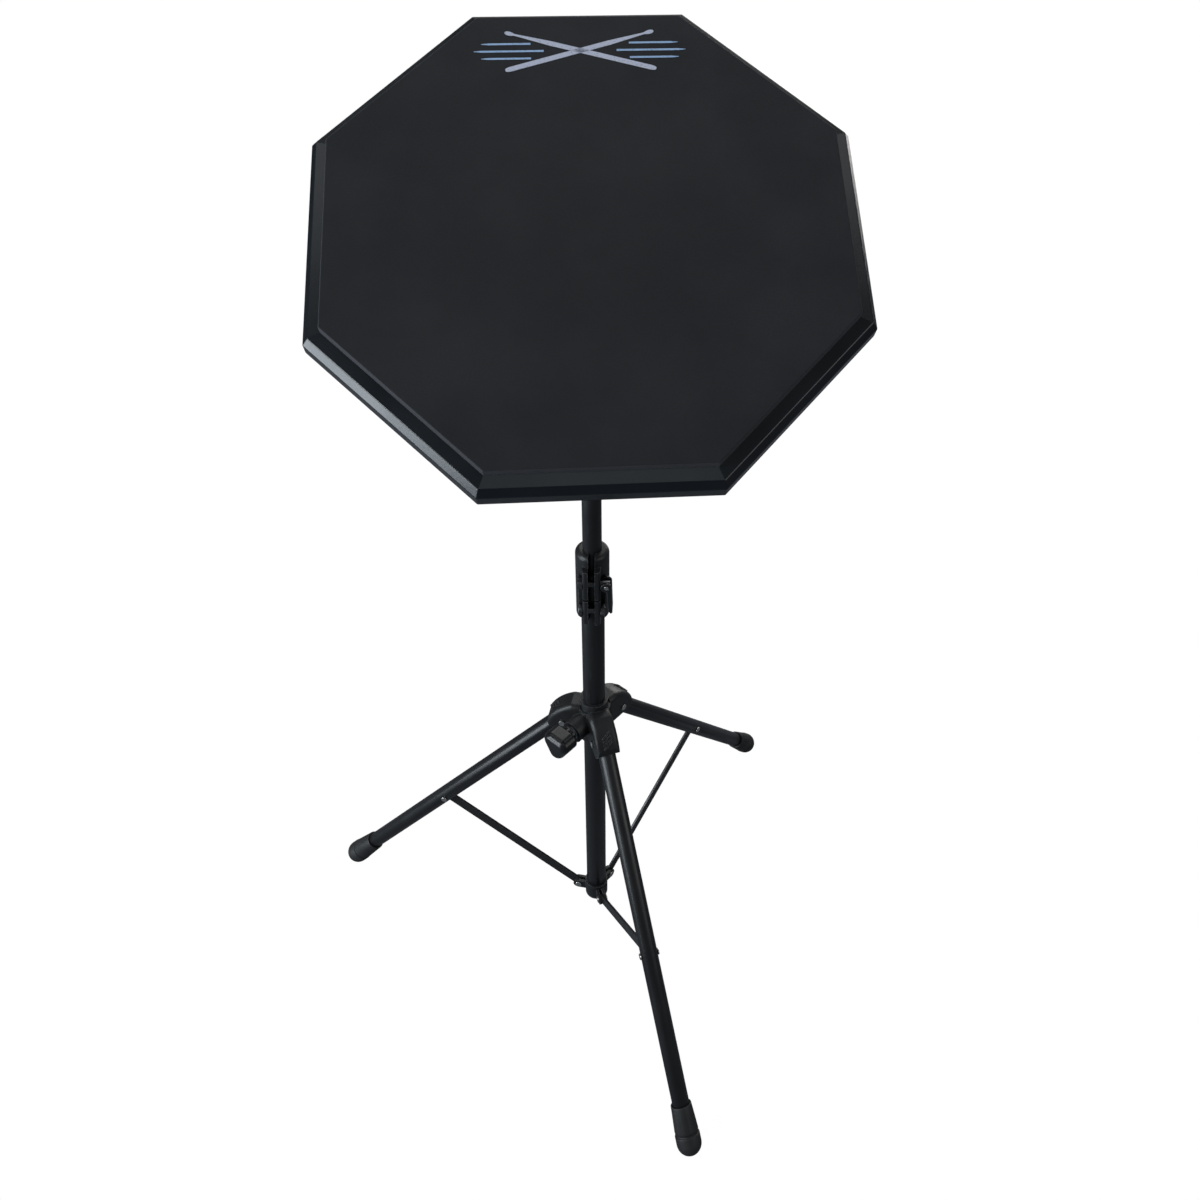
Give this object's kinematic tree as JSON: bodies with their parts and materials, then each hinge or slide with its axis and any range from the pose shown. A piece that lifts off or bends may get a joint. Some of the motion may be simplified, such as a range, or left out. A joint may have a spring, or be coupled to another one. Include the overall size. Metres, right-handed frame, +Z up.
{
  "type": "practice pad",
  "caption": "Octagonal rubber drum practice pad on a tilting board, with a telescopic column and a folding tripod stand.",
  "frame": {"origin": "on the floor under the column's axis", "axes": "+Z up along the column, the player sits on the -Y side, +X to the player's right"},
  "size_m": [0.3787, 0.3797, 0.7106],
  "materials": {
    "board_lacquer": "black satin lacquer on fibreboard",
    "pad_rubber": "matte black rubber",
    "foot_rubber": "matte black rubber",
    "black_tube": "black powder coat, satin",
    "black_strip": "black powder coat, satin",
    "nickel_rivet": "nickel plated",
    "zinc_steel": "zinc plated",
    "black_bolt": "black oxide",
    "frame_plastic": "fine grained black plastic",
    "gloss_knob": "glossy black plastic",
    "nylon": "black nylon",
    "brass_insert": "plain brass"
  },
  "bodies": {
    "hub": {"hub": "frame_plastic", "captive_nut": "zinc_steel", "pivot_pin_1": "nickel_rivet", "pivot_pin_2": "nickel_rivet", "pivot_pin_3": "nickel_rivet"},
    "column": {"lower_tube": "black_tube", "spider": "frame_plastic", "spider_rivets": "nickel_rivet", "clamp_collar": "frame_plastic", "cam_bolt": "black_bolt", "pinch_bolt": "black_bolt", "pinch_nut": "black_bolt"},
    "bush": {"glide_bush": "nylon"},
    "mast": {"upper_tube": "black_tube", "tilt_fork": "frame_plastic", "fork_rivet": "nickel_rivet", "tilt_bolt": "zinc_steel", "friction_washers": "nylon", "tilt_washer": "zinc_steel"},
    "pad": {"board": "board_lacquer", "rubber_sheet": "pad_rubber", "threaded_insert": "brass_insert", "mounting_stud": "zinc_steel", "lock_nut": "zinc_steel", "mounting_washer": "zinc_steel", "tilt_head": "frame_plastic"},
    "tilt_knob": {"tilt_knob": "gloss_knob"},
    "lever": {"clamp_lever": "gloss_knob", "cam_pin": "nickel_rivet"},
    "knob": {"hub_knob": "gloss_knob", "knob_stud": "zinc_steel", "pressure_tip": "nylon"},
    "leg_1": {"leg_tube_1": "black_tube", "leg_plug_1": "nylon", "rubber_foot_1": "foot_rubber", "brace_rivet_1": "nickel_rivet"},
    "brace_1": {"brace_1": "black_strip"},
    "leg_2": {"leg_tube_2": "black_tube", "leg_plug_2": "nylon", "rubber_foot_2": "foot_rubber", "brace_rivet_2": "nickel_rivet"},
    "brace_2": {"brace_2": "black_strip"},
    "leg_3": {"leg_tube_3": "black_tube", "leg_plug_3": "nylon", "rubber_foot_3": "foot_rubber", "brace_rivet_3": "nickel_rivet"},
    "brace_3": {"brace_3": "black_strip"}
  },
  "joints": [
    {"name": "column_slide", "type": "slide", "parent": "hub", "child": "column", "axis": [0, 0, -1], "range_m": [0, 0.08645]},
    {"name": "leg_1_fold", "type": "hinge", "parent": "hub", "child": "leg_1", "pos_m": [-0.02176, 0.00571, 0.2363], "axis": [-0.2538, -0.9673, 0], "range_deg": [0, 35.5]},
    {"name": "brace_1_fold", "type": "hinge", "parent": "leg_1", "child": "brace_1", "pos_m": [-0.12091, 0.03172, 0.11544], "axis": [0.2538, 0.9673, 0], "range_deg": [0, 76.88]},
    {"name": "leg_2_fold", "type": "hinge", "parent": "hub", "child": "leg_2", "pos_m": [0.00594, -0.0217, 0.2363], "axis": [0.9646, 0.2639, 0], "range_deg": [0, 35.5]},
    {"name": "brace_2_fold", "type": "hinge", "parent": "leg_2", "child": "brace_2", "pos_m": [0.03298, -0.12057, 0.11544], "axis": [-0.9646, -0.2639, 0], "range_deg": [0, 76.88]},
    {"name": "leg_3_fold", "type": "hinge", "parent": "hub", "child": "leg_3", "pos_m": [0.01583, 0.01599, 0.2363], "axis": [-0.7108, 0.7034, 0], "range_deg": [0, 35.5]},
    {"name": "brace_3_fold", "type": "hinge", "parent": "leg_3", "child": "brace_3", "pos_m": [0.08792, 0.08885, 0.11544], "axis": [0.7108, -0.7034, 0], "range_deg": [0, 76.88]},
    {"name": "height_slide", "type": "slide", "parent": "column", "child": "bush", "axis": [0, 0, 1], "range_m": [-0.15, 0.13]},
    {"name": "upper_swivel", "type": "hinge", "parent": "bush", "child": "mast", "pos_m": [0, 0, 0.3], "axis": [0, 0, 1], "range_deg": [-180, 180]},
    {"name": "pad_tilt", "type": "hinge", "parent": "mast", "child": "pad", "pos_m": [0, 0, 0.612], "axis": [1, 0, 0], "range_deg": [-30, 45]},
    {"name": "tilt_knob_turn", "type": "hinge", "parent": "mast", "child": "tilt_knob", "pos_m": [0.019, 0, 0.612], "axis": [-1, 0, 0], "range_deg": [0, 180]},
    {"name": "lever_open", "type": "hinge", "parent": "column", "child": "lever", "pos_m": [0.00853, -0.01256, 0.384], "axis": [-0.1045, -0.9945, 0], "range_deg": [0, 120]},
    {"name": "hub_knob_turn", "type": "hinge", "parent": "hub", "child": "knob", "pos_m": [-0.02616, -0.02616, 0.242], "axis": [-0.7071, -0.7071, 0], "range_deg": [0, 360]}
  ],
  "couplings": [
    {"joint": "leg_1_fold", "follows": "column_slide", "rad_per_m": 7.167},
    {"joint": "brace_1_fold", "follows": "column_slide", "rad_per_m": 15.522},
    {"joint": "leg_2_fold", "follows": "column_slide", "rad_per_m": 7.167},
    {"joint": "brace_2_fold", "follows": "column_slide", "rad_per_m": 15.522},
    {"joint": "leg_3_fold", "follows": "column_slide", "rad_per_m": 7.167},
    {"joint": "brace_3_fold", "follows": "column_slide", "rad_per_m": 15.522}
  ]
}
